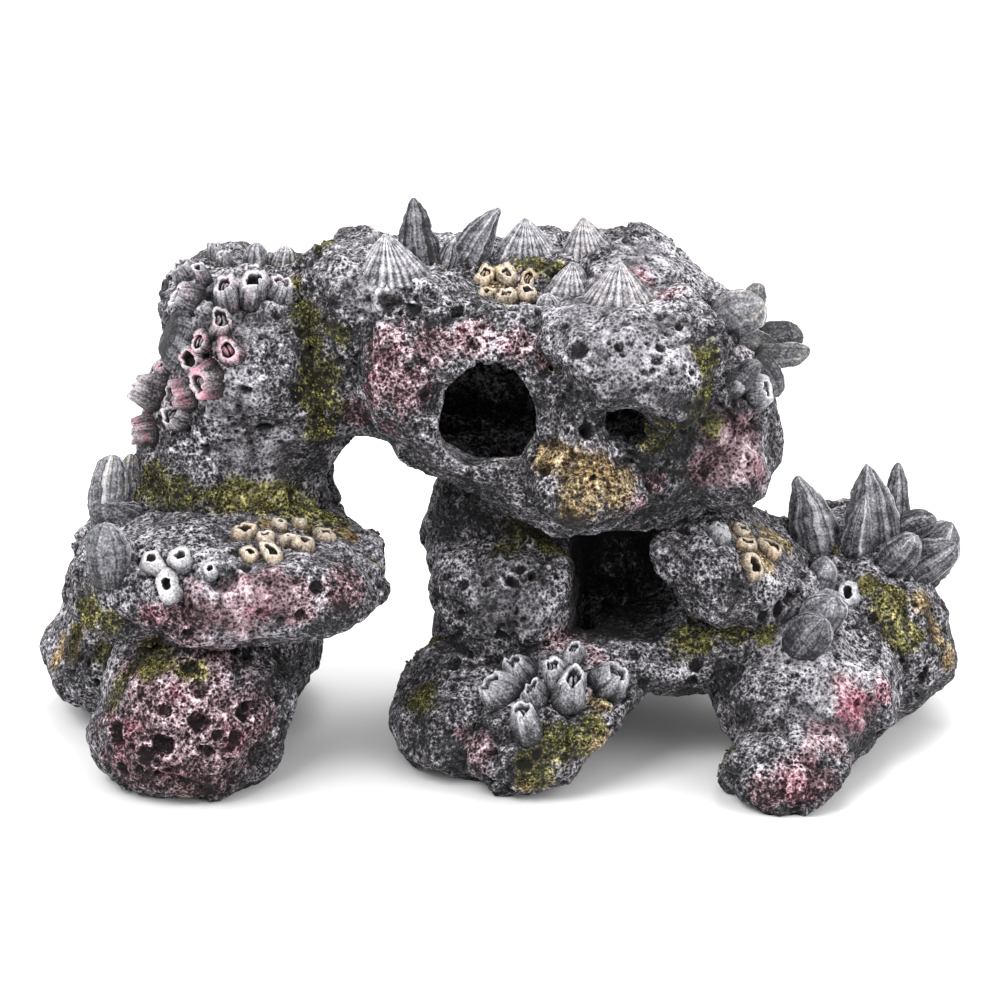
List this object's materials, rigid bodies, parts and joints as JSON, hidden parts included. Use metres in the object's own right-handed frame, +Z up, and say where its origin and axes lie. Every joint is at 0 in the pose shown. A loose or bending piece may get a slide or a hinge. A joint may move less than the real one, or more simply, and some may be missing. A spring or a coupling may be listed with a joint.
{
  "type": "aquarium cave ornament",
  "caption": "Cast resin reef cave for an aquarium: bonded pitted stones form an arch and two caves, with limpets, mussels and barnacles on them.",
  "frame": {"origin": "centre of the bounding box's underside, on the surface that the feet stand on", "axes": "+Z up, -Y towards the front with the cave mouths, +X to the right seen from the front"},
  "size_m": [0.3136, 0.146, 0.1848],
  "materials": {
    "grey_lace_stone": "matt dry-brushed resin, charcoal in the pits and lavender grey on the ridges",
    "pink_lace_stone": "matt dry-brushed resin, dusty pink over charcoal",
    "dark_lace_stone": "matt dark resin with grey dry-brushing and olive flock",
    "ochre_lace_stone": "matt resin stained ochre and moss green over grey",
    "limpet_shell": "matt ribbed shell, pale on the ribs",
    "mussel_shell": "satin grey-brown shell with pale edges",
    "grey_barnacle": "matt grey wall plates with dark mouths",
    "pink_barnacle": "matt pink wall plates with dark mouths",
    "white_barnacle": "matt off-white wall plates with dark mouths",
    "cream_barnacle": "matt cream and ochre wall plates with dark mouths"
  },
  "bodies": {
    "root": {"base_barnacles": "grey_barnacle", "bridge_rock": "dark_lace_stone", "brow_barnacle": "grey_barnacle", "brow_limpet": "limpet_shell", "brow_rock": "grey_lace_stone", "cave_back_rock": "dark_lace_stone", "crown_rock": "grey_lace_stone", "front_base_rock": "ochre_lace_stone", "front_toe_rock": "dark_lace_stone", "globe_rock": "grey_lace_stone", "head_back_left_rock": "grey_lace_stone", "head_back_post_rock": "grey_lace_stone", "head_back_right_rock": "grey_lace_stone", "head_floor_rock": "grey_lace_stone", "head_front_left_rock": "grey_lace_stone", "head_front_post_rock": "grey_lace_stone", "head_front_right_rock": "grey_lace_stone", "head_roof_rock": "grey_lace_stone", "ledge_gold_barnacles": "cream_barnacle", "ledge_rock": "ochre_lace_stone", "ledge_white_barnacle": "white_barnacle", "left_column_rock": "grey_lace_stone", "left_foot_rock": "pink_lace_stone", "left_heel_rock": "dark_lace_stone", "left_mussels": "mussel_shell", "left_round_shells": "mussel_shell", "left_shelf_rock": "pink_lace_stone", "left_shoulder_rock": "grey_lace_stone", "leg_barnacle": "grey_barnacle", "leg_round_shells": "mussel_shell", "lobe_rock": "pink_lace_stone", "neck_rock": "grey_lace_stone", "nose_rock": "ochre_lace_stone", "rear_column_rock": "dark_lace_stone", "rear_ledge_rock": "dark_lace_stone", "rear_low_mussels": "mussel_shell", "rear_tall_mussels": "mussel_shell", "ridge_cream_barnacles": "cream_barnacle", "ridge_fan_shell": "limpet_shell", "ridge_limpets": "limpet_shell", "ridge_rock": "grey_lace_stone", "right_foot_rock": "pink_lace_stone", "right_leg_rock": "grey_lace_stone", "right_rear_rock": "ochre_lace_stone", "shelf_cream_barnacles": "cream_barnacle", "shelf_white_barnacles": "white_barnacle", "shoulder_cone_shells": "limpet_shell", "shoulder_long_shell": "mussel_shell", "shoulder_low_barnacles": "pink_barnacle", "shoulder_top_barnacles": "grey_barnacle", "slab_limpets": "limpet_shell", "slab_rock": "grey_lace_stone", "temple_barnacles": "grey_barnacle", "temple_mussels": "mussel_shell", "temple_rock": "grey_lace_stone", "top_left_mussels": "mussel_shell"}
  },
  "joints": []
}
